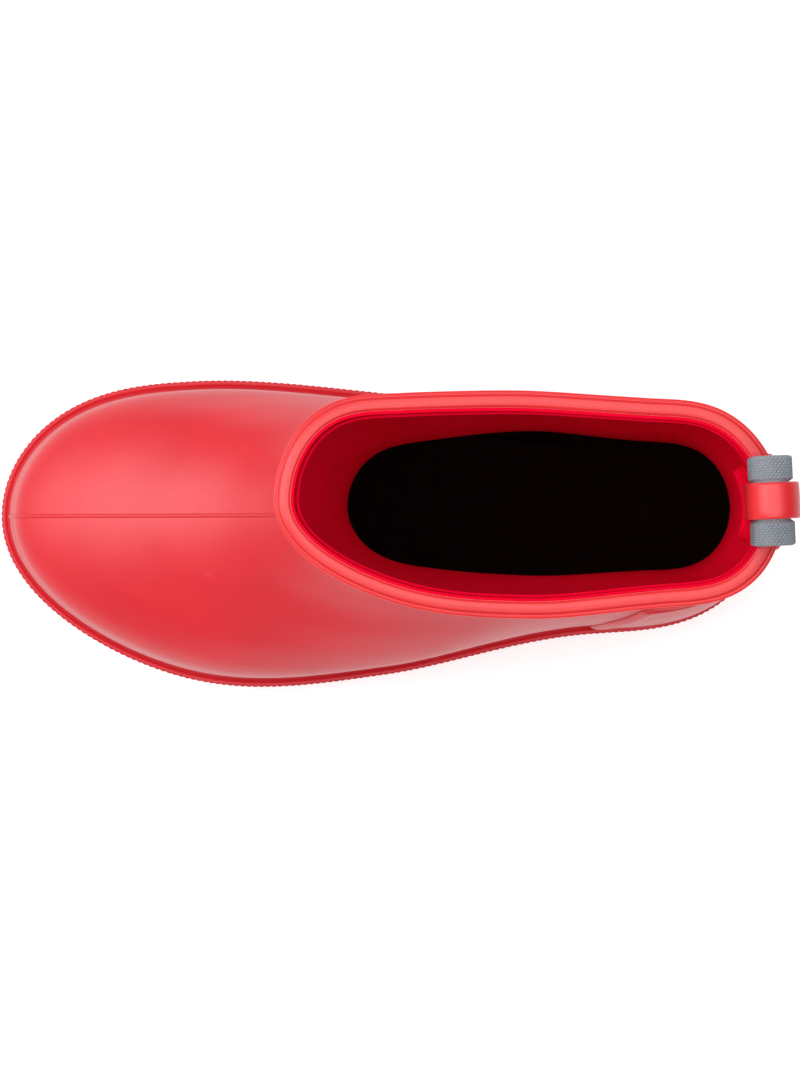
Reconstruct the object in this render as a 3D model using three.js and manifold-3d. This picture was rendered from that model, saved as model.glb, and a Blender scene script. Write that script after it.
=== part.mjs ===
// A child's rubber rain boot for the left foot: a moulded upper over a knitted sock lining, a layered sole
// with a ribbed welt, a loose footbed, and a grey pull loop with a red band at the back of the top line.
//
// Millimetres. +X points to the toe, +Y to the outer side of the foot and +Z up. The origin is on the floor,
// under the middle of the outsole.

import * as THREE from 'three';
import { mergeVertices } from 'three/addons/utils/BufferGeometryUtils.js';
import Module from 'manifold-3d';

const wasm = await Module();
wasm.setup();

// ---------------------------------------------------------------- driving dimensions

const GAP = 0.3;
const UPPER_THICKNESS = 2.2;
const STIFFENER_THICKNESS = 0.8;
const LINING_THICKNESS = 0.8;
const TAPE_THICKNESS = 0.5;
const TAPE_DEPTH = 9;
const TAPE_INSET = 1;
const TOP_BAND_THICKNESS = 1.2;
const TOP_BAND_DEPTH = 6.5;
const COUNTER_THICKNESS = 0.7;
const COUNTER_TOP = 62;
const COUNTER_SPREAD = THREE.MathUtils.degToRad(58);
const COUNTER_LEAN = 0.14;
const WELT_REACH = 2.5;

const BALL_HEIGHT = 12;
const TOE_SPRING = 4;
const HEEL_LIFT = 9;
const TOE_SPRING_START = 0.35;
const HEEL_RAMP_START = 0;
const HEEL_RAMP_END = -0.55;
const UPPER_DEPTH_IN_WELT = 2;
const ANKLE_HEIGHT = 80;
const LINING_SEAM_HEIGHT = 84;
const LINING_CLOSES_BELOW_ANKLE = 0.12;
const LINING_CLOSES_ABOVE_ANKLE = 0.04;
const SOLE_CURVE_FADES_BY = 0.35;
const STIFFENER_LOW = 0.06;
const STIFFENER_HIGH = 0.4;
const TOE_PUFF_SPREAD = 0.42 * Math.PI;
const HEEL_STIFFENER_SPREAD = 0.3 * Math.PI;

const WELT_LOW = -5.7;
const WELT_HIGH = 1.5;
const OUTSOLE_TOP = -6;
const ARCH_START = -0.02;
const HEEL_BREAST = -0.37;
const HEEL_BREAST_SLOPE = 0.03;
const ARCH_LIFT = 6;

const TREAD_DEPTH = 2.5;
const TREAD_GROOVE = 3;
const TREAD_PITCH = 10;
const TREAD_MARGIN = 7;
const TREAD_SWEEP = THREE.MathUtils.degToRad(18);
const TREAD_FRONT = { first: 88, last: 8 };
const TREAD_HEEL = { first: -46, last: -96 };
const HEEL_POCKET_MARGIN = 10;
const HEEL_POCKET_FLOOR = 6;
const HEEL_POCKET_FRONT = -42;

const BOARD_THICKNESS = 1.5;
const FOOTBED_MARGIN = 5.4;
const FOOTBED_THICKNESS = 3.6;
const FOOTBED_COVER_THICKNESS = 0.8;

const LOOP_TURN = THREE.MathUtils.degToRad(2.5);
const LOOP_WIDTH = 21.4;
const LOOP_DEPTH = 12;
const LOOP_THICKNESS = 2.6;
const LOOP_CHANNEL_WIDTH = 9.4;
const LOOP_CHANNEL_DEPTH = 1.2;
const LOOP_BAND_WIDTH = 8;
const LOOP_BAND_THICKNESS = 1.2;
const LOOP_BASE_CLEARANCE = 2.6;
const LOOP_CLEAR_HEIGHT = 12;
const LOOP_LEG_LENGTH = 16;
const LOOP_LEG_THICKNESS = 2;
const LOOP_INNER_LEG_THICKNESS = 1.4;
const LOOP_PATCH_THICKNESS = 1.2;
const LOOP_PATCH_REACH = 10;
const LOOP_PATCH_LAP = 6;
const LOOP_INNER_PATCH_THICKNESS = 0.8;
const LOOP_INNER_PATCH_REACH = 8;
const LOOP_INNER_PATCH_LAP = 4;
const STEP_LENGTH = 2;
const STEP_CLEARANCE = 0.8;

const MERGE_DISTANCE = 1e-4;
const LEVEL_TOLERANCE = 1e-5;
const AROUND = 40;
const LEVELS = 16;
const LEVEL_APART = 0.004;
const TURN = 2 * Math.PI;

// Sections of the upper's outer face, from the welt to the top line. Each one runs from its front end to its
// back end, [x, z], about its middle line y. Its breadths to the outer and the inner side are given at the
// front end, halfway forward, in the middle, halfway back and at the back end. An end's breadth sets how
// blunt the end is: the real half-breadth is the given one times the sine of the angle round the section.
// The skew is how much further back the outer side of the back end lies, for each millimetre outwards.
const SECTIONS = [
  { front: [100.4, 14], back: [-100.4, 19], middle: -5, skew: 0,
    outer: [47.5, 48.3, 40.3, 34.2, 48.5], inner: [51.5, 39.4, 30.8, 28.6, 49] },
  { front: [100.3, 21], back: [-100.9, 27], middle: -5, skew: 0,
    outer: [47.5, 48.2, 40.3, 34.2, 49], inner: [51, 39.4, 30.8, 28.8, 49.5] },
  { front: [98.8, 29], back: [-100.7, 35], middle: -5, skew: 0,
    outer: [47, 47.6, 40, 33.8, 48.8], inner: [50.5, 38.8, 30.5, 28.6, 49.3] },
  { front: [95.6, 35.5], back: [-100, 42], middle: -5, skew: 0,
    outer: [46, 46, 39.4, 33, 48], inner: [50, 38, 30.2, 28.4, 48.6] },
  { front: [82, 43], back: [-98.8, 49.5], middle: -5, skew: 0,
    outer: [41.5, 41, 36.8, 31.4, 47], inner: [45.5, 34.6, 29, 27.7, 47.5] },
  { front: [61, 51.5], back: [-96.8, 58], middle: -5.2, skew: 0,
    outer: [34, 34.8, 32.4, 28.6, 44.5], inner: [37, 30.6, 27.2, 26.4, 45] },
  { front: [38, 61.5], back: [-94.6, 68], middle: -5.8, skew: 0,
    outer: [30.5, 28.6, 27, 25.4, 41.5], inner: [31, 26.6, 25, 25, 42.5] },
  { front: [19.5, 76], back: [-92.6, 79], middle: -6.6, skew: 0,
    outer: [29, 23.8, 22.2, 23, 33], inner: [30, 24.2, 23.3, 23.9, 34.5] },
  { front: [12.2, 98], back: [-91.2, 98], middle: -7.2, skew: 0.02,
    outer: [28, 22, 20.8, 22.6, 33], inner: [31, 23.8, 23, 24, 34] },
  { front: [16.5, 128], back: [-92.4, 128], middle: -7.7, skew: 0.05,
    outer: [27.5, 24.6, 23.6, 25.6, 38], inner: [35, 25.8, 24, 25.8, 37.5] },
  { front: [24.2, 160], back: [-94.3, 160], middle: -8.1, skew: 0.09,
    outer: [26, 27.1, 26.5, 27.6, 38.5], inner: [40, 28, 24.8, 26.6, 38] },
];

const RED = 0xd8202c;
const BRIGHT_RED = 0xe8403c;
const LINING_RED = 0xa8102a;
const GREY = 0x8a9096;
const BLACK = 0x141214;
const BOARD_BROWN = 0x9a7a58;
const SPONGE_GREY = 0x55565a;

// ---------------------------------------------------------------- curves of the last

function sectionCurve(pairOf) {
  return new THREE.SplineCurve(SECTIONS.map((section) => new THREE.Vector2(...pairOf(section))));
}

const frontLine = sectionCurve((section) => section.front);
const backLine = sectionCurve((section) => section.back);
const middleLine = sectionCurve((section) => [section.middle, section.skew]);
const breadthLines = SECTIONS[0].outer.map((_, place) =>
  sectionCurve((section) => [section.outer[place], section.inner[place]]));

const OUTSOLE_LENGTH = SECTIONS[0].front[0] - SECTIONS[0].back[0] + 2 * WELT_REACH;
const topLineHeight = SECTIONS.at(-1).front[1];
const topLineBack = SECTIONS.at(-1).back[0];
const topLineMiddle = SECTIONS.at(-1).middle;

function smoothstep(start, end, value) {
  const s = THREE.MathUtils.clamp((value - start) / (end - start), 0, 1);
  return s * s * (3 - 2 * s);
}

// along is 1 at the toe end of the sole and -1 at its heel end.
function toeSpring(along) {
  const s = Math.max(0, (along - TOE_SPRING_START) / (1 - TOE_SPRING_START));
  return TOE_SPRING * s * s;
}

function footPlane(along) {
  return BALL_HEIGHT + toeSpring(along) + HEEL_LIFT * smoothstep(HEEL_RAMP_START, HEEL_RAMP_END, along);
}

function treadPlane(along) {
  const breast = smoothstep(HEEL_BREAST, HEEL_BREAST + HEEL_BREAST_SLOPE, along);
  const arch = smoothstep(ARCH_START, HEEL_BREAST + HEEL_BREAST_SLOPE, along);
  return toeSpring(along) + ARCH_LIFT * arch * breast;
}

// The sole's own curve, less the straight line between its ends, fades out over the foot.
function solePlaneSag(level, along) {
  const straight = THREE.MathUtils.lerp(footPlane(-1), footPlane(1), (1 + along) / 2);
  return (footPlane(along) - straight) * (1 - smoothstep(0, SOLE_CURVE_FADES_BY, level));
}

function halfBreadth(level, along, outerSide) {
  const pairs = breadthLines.map((line) => line.getPoint(level));
  const places = pairs.map((pair, index) => new THREE.Vector2(index, outerSide ? pair.x : pair.y));
  return new THREE.SplineCurve(places).getPoint((1 - along) / 2).y;
}

// A point of the upper's outer face: level runs from 0 at the welt to 1 at the top line, and angle from 0 at
// the toe, through the outer side, to half a turn at the heel.
function facePoint(level, angle) {
  const front = frontLine.getPoint(level);
  const back = backLine.getPoint(level);
  const along = Math.cos(angle);
  const share = (1 + along) / 2;
  const { x: middle, y: skew } = middleLine.getPoint(level);
  const outwards = Math.sin(angle) * halfBreadth(level, along, Math.sin(angle) > 0);
  return new THREE.Vector3(
    THREE.MathUtils.lerp(back.x, front.x, share) - skew * outwards * (1 - share),
    middle + outwards,
    THREE.MathUtils.lerp(back.y, front.y, share) + solePlaneSag(level, along),
  );
}

const STEP = 1e-3;

function faceNormal(level, angle) {
  const low = Math.max(0, level - STEP);
  const high = Math.min(1, level + STEP);
  const up = facePoint(high, angle).sub(facePoint(low, angle));
  const round = facePoint(level, angle + STEP).sub(facePoint(level, angle - STEP));
  return round.cross(up).normalize();
}

function offsetPoint(level, angle, offset) {
  return facePoint(level, angle).addScaledVector(faceNormal(level, angle), offset);
}

function outlinePoint(angle, offset) {
  const round = facePoint(0, angle + STEP).sub(facePoint(0, angle - STEP));
  const outward = new THREE.Vector3(round.y, -round.x, 0).normalize();
  return facePoint(0, angle).addScaledVector(outward, offset);
}

// The level at which the back line or the front line passes a height.
function levelAt(height, line = backLine) {
  let low = 0;
  let high = 1;
  while (high - low > LEVEL_TOLERANCE) {
    const level = (low + high) / 2;
    if (line.getPoint(level).y < height) low = level;
    else high = level;
  }
  return low;
}

// ---------------------------------------------------------------- solids

function geometryFrom(points, triangles) {
  const geometry = new THREE.BufferGeometry().setFromPoints(points);
  geometry.setIndex(triangles);
  geometry.computeVertexNormals();
  return geometry;
}

function quad(triangles, a, b, c, d) {
  triangles.push(a, b, c, a, c, d);
}

// The start, the end and every whole multiple of the step that is well between them.
function gridBetween(start, end, step) {
  const between = [];
  for (let index = Math.ceil(start / step); index * step < end; index += 1) {
    const value = index * step;
    if (Math.min(value - start, end - value) > step / 5) between.push(value);
  }
  return [start, ...between, end];
}

// A wall that follows the upper's face between two levels, from the offset `inside` to the offset `outside`,
// right round it or between two angles, which close in on each other by the share `lean` on the way up. All
// walls share one grid, so that walls that lie on each other keep their gap. Steps are more levels, where an
// offset changes. With a floor, the wall is a sock closed at its foot.
function wall({ from, to, start = 0, end = TURN, lean = 0, outside, inside, floor = 0, steps = [] }) {
  const closed = end - start === TURN;
  const shared = gridBetween(from, to, 1 / LEVELS);
  const apart = shared.filter((level) => steps.every((step) => Math.abs(level - step) > LEVEL_APART));
  const levels = [...apart, ...steps].sort((a, b) => a - b);
  const angles = gridBetween(start, end, TURN / AROUND);
  if (closed) angles.pop();
  const middleAngle = (start + end) / 2;
  const height = levels.length;
  const width = angles.length;
  const rows = height - 1;
  const columns = closed ? width : width - 1;
  const outsideAt = typeof outside === 'function' ? outside : () => outside;
  const insideAt = typeof inside === 'function' ? inside : () => inside;
  const points = [];
  for (const offsetAt of [outsideAt, insideAt]) {
    for (const level of levels) {
      const narrowing = 1 - lean * (level - from) / (to - from);
      for (const angle of angles) {
        const leaning = middleAngle + (angle - middleAngle) * narrowing;
        const point = offsetPoint(level, leaning, offsetAt(level));
        if (level === from && offsetAt === insideAt) point.z += floor;
        points.push(point);
      }
    }
  }
  const outer = (row, column) => row * width + (column % width);
  const inner = (row, column) => height * width + outer(row, column);
  const triangles = [];
  for (let column = 0; column < columns; column += 1) {
    const next = column + 1;
    for (let row = 0; row < rows; row += 1) {
      quad(triangles, outer(row, column), outer(row, next), outer(row + 1, next), outer(row + 1, column));
      quad(triangles, inner(row, next), inner(row, column), inner(row + 1, column), inner(row + 1, next));
    }
    quad(triangles, outer(rows, column), outer(rows, next), inner(rows, next), inner(rows, column));
    if (!floor) quad(triangles, inner(0, column), inner(0, next), outer(0, next), outer(0, column));
  }
  if (floor) {
    closeAcross(triangles, (column) => outer(0, column), columns, true);
    closeAcross(triangles, (column) => inner(0, column), columns, false);
  }
  if (!closed) {
    for (let row = 0; row < rows; row += 1) {
      quad(triangles, inner(row, 0), outer(row, 0), outer(row + 1, 0), inner(row + 1, 0));
      const last = columns;
      quad(triangles, outer(row, last), inner(row, last), inner(row + 1, last), outer(row + 1, last));
    }
  }
  return geometryFrom(points, triangles);
}

// Strips from each point of a ring to the one opposite it across the boot.
function closeAcross(triangles, ring, count, downwards) {
  for (let column = 0; column < count / 2; column += 1) {
    const opposite = count - column;
    const corners = [ring(column), ring(column + 1), ring(opposite - 1), ring(opposite % count)];
    if (downwards) corners.reverse();
    const [a, b, c, d] = corners;
    if (a !== d) triangles.push(a, b, d);
    if (b !== c) triangles.push(b, c, d);
  }
}

// The angles round a layer of the sole, with two more on each side where the heel block starts.
function soleAngles() {
  const breast = [HEEL_BREAST, HEEL_BREAST + HEEL_BREAST_SLOPE].map(Math.acos);
  const half = Array.from({ length: AROUND / 2 + 1 }, (_, index) => index * TURN / AROUND);
  const side = [...half, ...breast].sort((a, b) => a - b);
  const back = side.slice(1, -1).reverse().map((angle) => TURN - angle);
  return [...side, ...back];
}

// A layer of the sole: the outline at an offset, between two heights that follow the length.
function layer({ offset, low, high }) {
  const angles = soleAngles();
  const count = angles.length;
  const points = [];
  for (const heightAt of [low, high]) {
    for (const angle of angles) {
      const point = outlinePoint(angle, offset);
      point.z = heightAt(Math.cos(angle));
      points.push(point);
    }
  }
  const triangles = [];
  for (let column = 0; column < count; column += 1) {
    const next = (column + 1) % count;
    quad(triangles, column, next, count + next, count + column);
  }
  closeAcross(triangles, (column) => column, count, true);
  closeAcross(triangles, (column) => count + column, count, false);
  return geometryFrom(points, triangles);
}

function toSolid(geometry) {
  const bare = geometry.clone();
  bare.deleteAttribute('normal');
  bare.deleteAttribute('uv');
  const merged = mergeVertices(bare, MERGE_DISTANCE);
  return new wasm.Manifold(new wasm.Mesh({
    numProp: 3,
    vertProperties: new Float32Array(merged.attributes.position.array),
    triVerts: new Uint32Array(merged.index.array),
  }));
}

function toGeometry(solid) {
  const mesh = solid.getMesh();
  const geometry = new THREE.BufferGeometry();
  geometry.setAttribute('position', new THREE.BufferAttribute(mesh.vertProperties, 3));
  geometry.setIndex(new THREE.BufferAttribute(mesh.triVerts, 1));
  geometry.computeVertexNormals();
  return geometry;
}

function boxBetween(low, high) {
  const size = new THREE.Vector3().subVectors(high, low);
  const centre = new THREE.Vector3().addVectors(high, low).multiplyScalar(0.5);
  return new THREE.BoxGeometry(size.x, size.y, size.z).translate(centre.x, centre.y, centre.z);
}

// ---------------------------------------------------------------- upper and lining

const ankleLevel = levelAt(ANKLE_HEIGHT);
const seamLevel = levelAt(LINING_SEAM_HEIGHT);
const aboveSeamLevel = levelAt(LINING_SEAM_HEIGHT + GAP);
const bandLevel = levelAt(topLineHeight - TOP_BAND_DEPTH);

// Inside the foot the lining leaves room for the stiffeners; up the leg it lies against the upper.
function liningFace(level) {
  const closed = smoothstep(
    ankleLevel - LINING_CLOSES_BELOW_ANKLE, ankleLevel + LINING_CLOSES_ABOVE_ANKLE, level,
  );
  return -(UPPER_THICKNESS + GAP + (STIFFENER_THICKNESS + GAP) * (1 - closed));
}

function liningInside(level) {
  return liningFace(level) - LINING_THICKNESS;
}

function upperShell() {
  return wall({ from: 0, to: 1, outside: 0, inside: -UPPER_THICKNESS });
}

function liningLeg() {
  return wall({ from: aboveSeamLevel, to: 1, outside: liningFace, inside: liningInside });
}

function liningFoot() {
  return wall({
    from: levelAt(footPlane(-1)), to: seamLevel, outside: liningFace, inside: liningInside,
    floor: LINING_THICKNESS,
  });
}

function collarTape() {
  return wall({
    from: levelAt(topLineHeight - TAPE_DEPTH), to: levelAt(topLineHeight - TAPE_INSET),
    outside: (level) => liningInside(level) - GAP,
    inside: (level) => liningInside(level) - GAP - TAPE_THICKNESS,
  });
}

function topBand() {
  return wall({ from: bandLevel, to: 1, outside: GAP + TOP_BAND_THICKNESS, inside: GAP });
}

function stiffener(middleAngle, spread) {
  const face = -(UPPER_THICKNESS + GAP);
  return wall({
    from: STIFFENER_LOW, to: STIFFENER_HIGH, start: middleAngle - spread, end: middleAngle + spread,
    outside: face, inside: face - STIFFENER_THICKNESS,
  });
}

function heelCounter() {
  return wall({
    from: levelAt(footPlane(-1) + WELT_HIGH + 1), to: levelAt(COUNTER_TOP),
    start: Math.PI - COUNTER_SPREAD, end: Math.PI + COUNTER_SPREAD, lean: COUNTER_LEAN,
    outside: 2 * GAP + COUNTER_THICKNESS, inside: 2 * GAP,
  });
}

// ---------------------------------------------------------------- sole

function footPlanePlus(height) {
  return (along) => footPlane(along) + height;
}

function weltBand() {
  const heights = { low: footPlanePlus(WELT_LOW), high: footPlanePlus(WELT_HIGH) };
  const hole = { low: footPlanePlus(WELT_LOW - 1), high: footPlanePlus(WELT_HIGH + 1) };
  const outside = toSolid(layer({ offset: WELT_REACH, ...heights }));
  const inside = toSolid(layer({ offset: GAP, ...hole }));
  return toGeometry(outside.subtract(inside));
}

function heelPocket(clearance, height) {
  const floor = HEEL_POCKET_FLOOR + clearance;
  const block = layer({
    offset: -HEEL_POCKET_MARGIN - clearance, low: () => floor, high: footPlanePlus(height),
  });
  const low = new THREE.Vector3(-OUTSOLE_LENGTH, -OUTSOLE_LENGTH, 0);
  const high = new THREE.Vector3(HEEL_POCKET_FRONT - clearance, OUTSOLE_LENGTH, OUTSOLE_LENGTH);
  return toSolid(block).intersect(toSolid(boxBetween(low, high)));
}

// One groove of the tread, swept back from the middle of the sole to both sides.
function treadGroove(x) {
  const length = OUTSOLE_LENGTH / 3;
  const halves = [1, -1].map((side) => {
    const bar = new THREE.BoxGeometry(TREAD_GROOVE, length, length);
    bar.translate(0, side * (length / 2 - TREAD_GROOVE / 3), 0).rotateZ(side * TREAD_SWEEP);
    return toSolid(bar.translate(x, SECTIONS[0].middle, 0));
  });
  return halves[0].add(halves[1]);
}

function treadGrooves() {
  const cutter = toSolid(layer({
    offset: WELT_REACH - TREAD_MARGIN, low: () => -1, high: (along) => treadPlane(along) + TREAD_DEPTH,
  }));
  const places = [TREAD_FRONT, TREAD_HEEL].flatMap(({ first, last }) =>
    Array.from({ length: (first - last) / TREAD_PITCH }, (_, index) => first - index * TREAD_PITCH));
  const bars = places.map(treadGroove).reduce((sum, bar) => sum.add(bar));
  return cutter.intersect(bars);
}

function outsole() {
  const block = toSolid(layer({ offset: WELT_REACH, low: treadPlane, high: footPlanePlus(OUTSOLE_TOP) }));
  return toGeometry(block.subtract(treadGrooves()).subtract(heelPocket(0, 1)));
}

function heelFiller() {
  return toGeometry(heelPocket(GAP, OUTSOLE_TOP - GAP));
}

function midsole() {
  return layer({
    offset: 0, low: footPlanePlus(WELT_LOW), high: footPlanePlus(-UPPER_DEPTH_IN_WELT - GAP),
  });
}

function insoleBoard() {
  const low = -UPPER_DEPTH_IN_WELT;
  return layer({
    offset: -(UPPER_THICKNESS + GAP), low: footPlanePlus(low), high: footPlanePlus(low + BOARD_THICKNESS),
  });
}

const footbedLow = LINING_THICKNESS + 2 * GAP;
const footbedTop = footbedLow + FOOTBED_THICKNESS;

function footbedFoam() {
  return layer({ offset: -FOOTBED_MARGIN, low: footPlanePlus(footbedLow), high: footPlanePlus(footbedTop) });
}

function footbedCover() {
  const low = footbedTop + GAP;
  return layer({
    offset: -FOOTBED_MARGIN, low: footPlanePlus(low), high: footPlanePlus(low + FOOTBED_COVER_THICKNESS),
  });
}

// ---------------------------------------------------------------- pull loop

const wallOutside = topLineBack - GAP - TOP_BAND_THICKNESS;
const loopMiddleX = wallOutside + LOOP_DEPTH / 2 - LOOP_THICKNESS - GAP;
const loopBase = topLineHeight + LOOP_BASE_CLEARANCE;
const loopBendHeight = topLineHeight + LOOP_CLEAR_HEIGHT;

// An arch in the plane of the boot's length, from its outer depth to its inner depth, as wide as asked.
function arch(outerHalf, innerHalf, width) {
  const shape = new THREE.Shape();
  shape.moveTo(-outerHalf, loopBase);
  shape.lineTo(-innerHalf, loopBase);
  shape.lineTo(-innerHalf, loopBendHeight);
  shape.absarc(0, loopBendHeight, innerHalf, Math.PI, 0, true);
  shape.lineTo(innerHalf, loopBase);
  shape.lineTo(outerHalf, loopBase);
  shape.lineTo(outerHalf, loopBendHeight);
  shape.absarc(0, loopBendHeight, outerHalf, 0, Math.PI, false);
  const geometry = new THREE.ExtrudeGeometry(shape, { depth: width, bevelEnabled: false, curveSegments: 10 });
  geometry.translate(0, 0, -width / 2).rotateX(Math.PI / 2).rotateZ(LOOP_TURN);
  return geometry.translate(loopMiddleX, topLineMiddle, 0);
}

function loopStrap() {
  const half = LOOP_DEPTH / 2;
  const strap = toSolid(arch(half, half - LOOP_THICKNESS, LOOP_WIDTH));
  const channel = toSolid(arch(half + 1, half - LOOP_CHANNEL_DEPTH, LOOP_CHANNEL_WIDTH));
  return toGeometry(strap.subtract(channel));
}

function loopBand() {
  const inner = LOOP_DEPTH / 2 - LOOP_CHANNEL_DEPTH + GAP;
  return arch(inner + LOOP_BAND_THICKNESS, inner, LOOP_BAND_WIDTH);
}

// A strip down the back of the leg, as wide as the loop. Its face lies at the offset `low` below a height and
// at the offset `high` above it, and it is `thickness` thick towards the side that the sign of `out` gives.
function backStrip({ from, to, stepAt, low, high, thickness, out }) {
  const spread = Math.asin(LOOP_WIDTH / 2 / halfBreadth(1, -1, true));
  const steps = [levelAt(stepAt - STEP_LENGTH), levelAt(stepAt)];
  const face = (level) => THREE.MathUtils.mapLinear(
    THREE.MathUtils.clamp(level, ...steps), ...steps, low, high,
  );
  const far = (level) => face(level) + out * thickness;
  return wall({
    from: levelAt(from), to: levelAt(to), start: Math.PI - spread, end: Math.PI + spread, steps,
    outside: out > 0 ? far : face, inside: out > 0 ? face : far,
  });
}

const legFoot = topLineHeight - LOOP_LEG_LENGTH;
const bandFoot = topLineHeight - TOP_BAND_DEPTH;
const tapeFoot = topLineHeight - TAPE_DEPTH;
const liningLegInside = liningInside(1);

function loopLegOuter() {
  return backStrip({
    from: legFoot, to: topLineHeight, stepAt: bandFoot - STEP_CLEARANCE,
    low: GAP, high: GAP + TOP_BAND_THICKNESS + GAP, thickness: LOOP_LEG_THICKNESS, out: 1,
  });
}

function loopLegInner() {
  return backStrip({
    from: legFoot, to: topLineHeight, stepAt: tapeFoot - STEP_CLEARANCE,
    low: liningLegInside - GAP, high: liningLegInside - 2 * GAP - TAPE_THICKNESS,
    thickness: LOOP_INNER_LEG_THICKNESS, out: -1,
  });
}

function loopPatchOuter() {
  return backStrip({
    from: legFoot - LOOP_PATCH_REACH, to: legFoot + LOOP_PATCH_LAP, stepAt: legFoot - STEP_CLEARANCE,
    low: GAP, high: GAP + LOOP_LEG_THICKNESS + 2 * GAP, thickness: LOOP_PATCH_THICKNESS, out: 1,
  });
}

function loopPatchInner() {
  return backStrip({
    from: legFoot - LOOP_INNER_PATCH_REACH, to: legFoot + LOOP_INNER_PATCH_LAP,
    stepAt: legFoot - STEP_CLEARANCE,
    low: liningLegInside - GAP, high: liningLegInside - GAP - LOOP_INNER_LEG_THICKNESS - 2 * GAP,
    thickness: LOOP_INNER_PATCH_THICKNESS, out: -1,
  });
}

// ---------------------------------------------------------------- the boot

const boot = new THREE.Group();
boot.name = 'rain_boot';

function addPiece(parent, name, geometry, color, roughness) {
  const material = new THREE.MeshStandardMaterial({ color, roughness, metalness: 0 });
  const mesh = new THREE.Mesh(geometry, material);
  mesh.name = name;
  parent.add(mesh);
}

const soleGroup = new THREE.Group();
addPiece(soleGroup, 'outsole', outsole(), RED, 0.6);
addPiece(soleGroup, 'welt_band', weltBand(), RED, 0.6);
addPiece(soleGroup, 'heel_filler', heelFiller(), SPONGE_GREY, 0.9);
addPiece(soleGroup, 'midsole', midsole(), SPONGE_GREY, 0.9);
addPiece(soleGroup, 'insole_board', insoleBoard(), BOARD_BROWN, 0.9);

const upperGroup = new THREE.Group();
addPiece(upperGroup, 'upper_shell', upperShell(), RED, 0.5);
addPiece(upperGroup, 'top_band', topBand(), BRIGHT_RED, 0.5);
addPiece(upperGroup, 'heel_counter', heelCounter(), RED, 0.5);
addPiece(upperGroup, 'toe_puff', stiffener(0, TOE_PUFF_SPREAD), BOARD_BROWN, 0.9);
addPiece(upperGroup, 'heel_stiffener', stiffener(Math.PI, HEEL_STIFFENER_SPREAD), BOARD_BROWN, 0.9);
addPiece(upperGroup, 'lining_leg', liningLeg(), LINING_RED, 0.9);
addPiece(upperGroup, 'lining_foot', liningFoot(), BLACK, 0.95);
addPiece(upperGroup, 'collar_tape', collarTape(), LINING_RED, 0.9);

const footbedGroup = new THREE.Group();
addPiece(footbedGroup, 'footbed_foam', footbedFoam(), BLACK, 0.95);
addPiece(footbedGroup, 'footbed_cover', footbedCover(), BLACK, 0.95);

const loopGroup = new THREE.Group();
addPiece(loopGroup, 'loop_strap', loopStrap(), GREY, 0.7);
addPiece(loopGroup, 'loop_band', loopBand(), BRIGHT_RED, 0.5);
addPiece(loopGroup, 'loop_leg_outer', loopLegOuter(), GREY, 0.7);
addPiece(loopGroup, 'loop_leg_inner', loopLegInner(), GREY, 0.7);
addPiece(loopGroup, 'loop_patch_outer', loopPatchOuter(), RED, 0.5);
addPiece(loopGroup, 'loop_patch_inner', loopPatchInner(), LINING_RED, 0.9);

boot.add(soleGroup, upperGroup, footbedGroup, loopGroup);

export default boot;
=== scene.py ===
"""A child's red rubber rain boot for the left foot, seen from straight above, with its toe to the left."""

import math

import bpy
import numpy as np
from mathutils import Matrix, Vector


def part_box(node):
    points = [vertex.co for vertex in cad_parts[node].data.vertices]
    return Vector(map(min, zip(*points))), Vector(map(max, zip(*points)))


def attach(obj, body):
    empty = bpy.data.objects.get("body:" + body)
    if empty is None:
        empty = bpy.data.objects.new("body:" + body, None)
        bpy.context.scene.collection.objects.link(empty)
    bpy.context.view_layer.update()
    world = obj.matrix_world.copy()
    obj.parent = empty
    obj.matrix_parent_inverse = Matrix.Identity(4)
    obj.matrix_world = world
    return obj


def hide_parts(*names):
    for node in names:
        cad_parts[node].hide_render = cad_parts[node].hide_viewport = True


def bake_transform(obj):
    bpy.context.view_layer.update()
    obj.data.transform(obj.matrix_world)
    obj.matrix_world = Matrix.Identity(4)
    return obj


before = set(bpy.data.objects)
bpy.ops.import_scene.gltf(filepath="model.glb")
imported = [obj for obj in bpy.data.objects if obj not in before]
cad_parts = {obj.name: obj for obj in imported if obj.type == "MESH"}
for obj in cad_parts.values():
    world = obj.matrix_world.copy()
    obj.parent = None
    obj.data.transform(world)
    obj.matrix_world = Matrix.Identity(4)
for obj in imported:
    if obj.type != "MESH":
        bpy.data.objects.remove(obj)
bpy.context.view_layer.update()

MM = 0.001
TURN = 2 * math.pi

# ------------------------------------------------------------------ places taken from the frame

shell_low, shell_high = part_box("upper_shell")
strap_low, strap_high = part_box("loop_strap")

TOP_LINE = shell_high.z
LOOP_MIDDLE = (strap_low + strap_high) / 2

# ------------------------------------------------------------------ the last, in millimetres

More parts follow.
